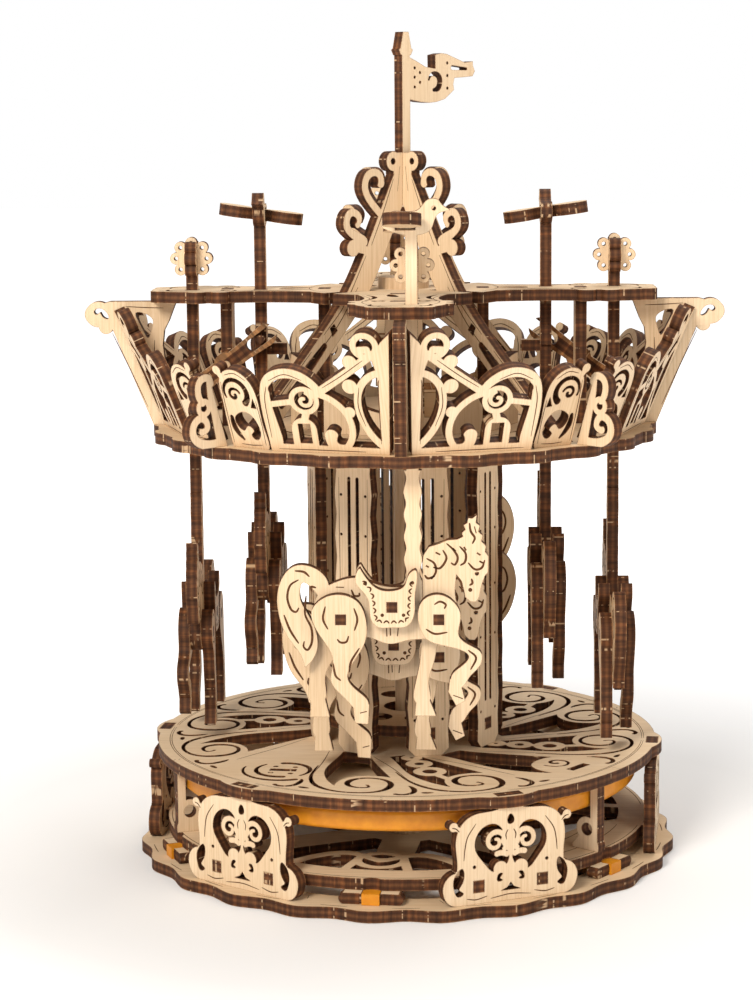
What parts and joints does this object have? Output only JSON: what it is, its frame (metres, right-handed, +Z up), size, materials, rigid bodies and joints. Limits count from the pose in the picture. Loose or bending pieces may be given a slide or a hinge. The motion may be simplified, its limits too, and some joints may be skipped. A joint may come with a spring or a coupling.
{
  "type": "merry go round",
  "caption": "Tabletop mechanical carousel of laser-cut plywood plates: horses on poles rise and fall as the crown turns on a fluted column above a round deck.",
  "frame": {"origin": "middle of the underside of the base", "axes": "+Z up along the axle; the front horse pair stands towards -Y and the four wings of the crown point along +X, -X, +Y and -Y"},
  "size_m": [0.2266, 0.2266, 0.291],
  "materials": {
    "birch_plywood": "bare laser-cut birch plywood with scorched brown edges",
    "turned_wood": "bare turned hardwood",
    "orange_rubber": "matte orange rubber"
  },
  "bodies": {
    "base": {"base_plate": "birch_plywood", "rubber_pegs": "birch_plywood", "band_anchors": "birch_plywood", "rubber_bands": "orange_rubber", "base_panels": "birch_plywood", "tray": "birch_plywood", "radial_brackets": "birch_plywood", "deck": "birch_plywood", "column_plates": "birch_plywood", "column_discs": "birch_plywood", "column_cap": "birch_plywood", "wave_cam": "birch_plywood", "lower_bush": "turned_wood", "upper_bush": "turned_wood", "thrust_washer": "turned_wood"},
    "carousel": {"main_axle": "turned_wood", "axle_collar": "turned_wood", "drive_wheel": "birch_plywood", "wheel_hub": "birch_plywood", "drive_belt": "orange_rubber", "crown_ring": "birch_plywood", "cross_plate": "birch_plywood", "arm_posts": "birch_plywood", "inner_posts": "birch_plywood", "rotor_hub": "birch_plywood", "wing_brackets": "birch_plywood", "tall_panels": "birch_plywood", "narrow_panels": "birch_plywood", "corner_brackets": "birch_plywood", "roof_fin_plain": "birch_plywood", "roof_fin_flag": "birch_plywood", "rocker_pins": "turned_wood"},
    "rocker_front_body": {"rocker_front": "birch_plywood"},
    "rocker_right_body": {"rocker_right": "birch_plywood"},
    "rocker_back_body": {"rocker_back": "birch_plywood"},
    "rocker_left_body": {"rocker_left": "birch_plywood"},
    "front_outer_horse": {"pole_front_outer": "birch_plywood", "horse_front_outer": "birch_plywood", "legs_front_outer": "birch_plywood"},
    "front_inner_horse": {"pole_front_inner": "birch_plywood", "horse_front_inner": "birch_plywood", "legs_front_inner": "birch_plywood"},
    "right_outer_horse": {"pole_right_outer": "birch_plywood", "horse_right_outer": "birch_plywood", "legs_right_outer": "birch_plywood"},
    "right_inner_horse": {"pole_right_inner": "birch_plywood", "horse_right_inner": "birch_plywood", "legs_right_inner": "birch_plywood"},
    "back_outer_horse": {"pole_back_outer": "birch_plywood", "horse_back_outer": "birch_plywood", "legs_back_outer": "birch_plywood"},
    "back_inner_horse": {"pole_back_inner": "birch_plywood", "horse_back_inner": "birch_plywood", "legs_back_inner": "birch_plywood"},
    "left_outer_horse": {"pole_left_outer": "birch_plywood", "horse_left_outer": "birch_plywood", "legs_left_outer": "birch_plywood"},
    "left_inner_horse": {"pole_left_inner": "birch_plywood", "horse_left_inner": "birch_plywood", "legs_left_inner": "birch_plywood"}
  },
  "joints": [
    {"name": "carousel_spin", "type": "hinge", "parent": "base", "child": "carousel", "pos_m": [0, 0, 0.15], "axis": [0, 0, 1], "continuous": true},
    {"name": "front_outer_slide", "type": "slide", "parent": "carousel", "child": "front_outer_horse", "axis": [0, 0, 1], "range_m": [-0.018, 0]},
    {"name": "front_inner_slide", "type": "slide", "parent": "carousel", "child": "front_inner_horse", "axis": [0, 0, 1], "range_m": [0, 0.018]},
    {"name": "rocker_front_pivot", "type": "hinge", "parent": "carousel", "child": "rocker_front_body", "pos_m": [0.0094, -0.0625, 0.17585], "axis": [1, 0, 0], "range_deg": [0, 73.29]},
    {"name": "right_outer_slide", "type": "slide", "parent": "carousel", "child": "right_outer_horse", "axis": [0, 0, 1], "range_m": [0, 0.018]},
    {"name": "right_inner_slide", "type": "slide", "parent": "carousel", "child": "right_inner_horse", "axis": [0, 0, 1], "range_m": [-0.018, 0]},
    {"name": "rocker_right_pivot", "type": "hinge", "parent": "carousel", "child": "rocker_right_body", "pos_m": [0.0625, 0.0094, 0.17585], "axis": [0, 1, 0], "range_deg": [-73.29, 0]},
    {"name": "back_outer_slide", "type": "slide", "parent": "carousel", "child": "back_outer_horse", "axis": [0, 0, 1], "range_m": [-0.018, 0]},
    {"name": "back_inner_slide", "type": "slide", "parent": "carousel", "child": "back_inner_horse", "axis": [0, 0, 1], "range_m": [0, 0.018]},
    {"name": "rocker_back_pivot", "type": "hinge", "parent": "carousel", "child": "rocker_back_body", "pos_m": [-0.0094, 0.0625, 0.17585], "axis": [-1, 0, 0], "range_deg": [0, 73.29]},
    {"name": "left_outer_slide", "type": "slide", "parent": "carousel", "child": "left_outer_horse", "axis": [0, 0, 1], "range_m": [0, 0.018]},
    {"name": "left_inner_slide", "type": "slide", "parent": "carousel", "child": "left_inner_horse", "axis": [0, 0, 1], "range_m": [-0.018, 0]},
    {"name": "rocker_left_pivot", "type": "hinge", "parent": "carousel", "child": "rocker_left_body", "pos_m": [-0.0625, -0.0094, 0.17585], "axis": [0, -1, 0], "range_deg": [-73.29, 0]}
  ],
  "couplings": [
    {"joint": "front_inner_slide", "follows": "front_outer_slide", "ratio": -1},
    {"joint": "rocker_front_pivot", "follows": "front_outer_slide", "rad_per_m": -71.058},
    {"joint": "right_outer_slide", "follows": "front_outer_slide", "ratio": -1},
    {"joint": "right_inner_slide", "follows": "front_outer_slide", "ratio": 1},
    {"joint": "rocker_right_pivot", "follows": "front_outer_slide", "rad_per_m": 71.058},
    {"joint": "back_outer_slide", "follows": "front_outer_slide", "ratio": 1},
    {"joint": "back_inner_slide", "follows": "front_outer_slide", "ratio": -1},
    {"joint": "rocker_back_pivot", "follows": "front_outer_slide", "rad_per_m": -71.058},
    {"joint": "left_outer_slide", "follows": "front_outer_slide", "ratio": -1},
    {"joint": "left_inner_slide", "follows": "front_outer_slide", "ratio": 1},
    {"joint": "rocker_left_pivot", "follows": "front_outer_slide", "rad_per_m": 71.058}
  ]
}
